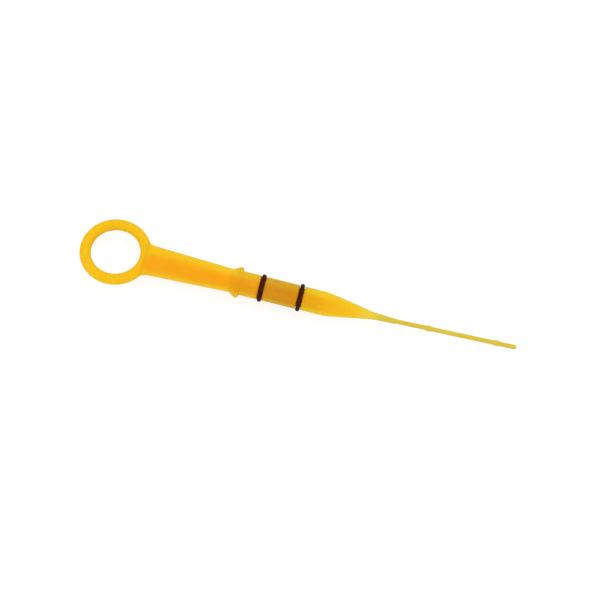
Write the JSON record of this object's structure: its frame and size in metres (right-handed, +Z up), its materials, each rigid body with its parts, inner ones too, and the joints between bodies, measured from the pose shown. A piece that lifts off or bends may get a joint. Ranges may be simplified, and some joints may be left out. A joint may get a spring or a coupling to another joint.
{
  "type": "engine oil dipstick",
  "caption": "Moulded engine oil dipstick: finger ring, tapered handle, stop lugs, barrel sealed by rubber O-rings, and a thin flexible rod with raised level marks.",
  "frame": {"origin": "on the shaft's axis, in the plane of the stop's seat, which is the face that meets the guide tube", "axes": "+X along the shaft towards the rod's tip; +Y across it in the plane of the finger ring; +Z up, square to the ring"},
  "size_m": [0.2006, 0.032, 0.0126],
  "materials": {
    "yellow_nylon": "satin moulded nylon",
    "black_rubber": "soft satin"
  },
  "bodies": {
    "root": {"dipstick_body": "yellow_nylon", "upper_o_ring": "black_rubber", "lower_o_ring": "black_rubber"}
  },
  "joints": []
}
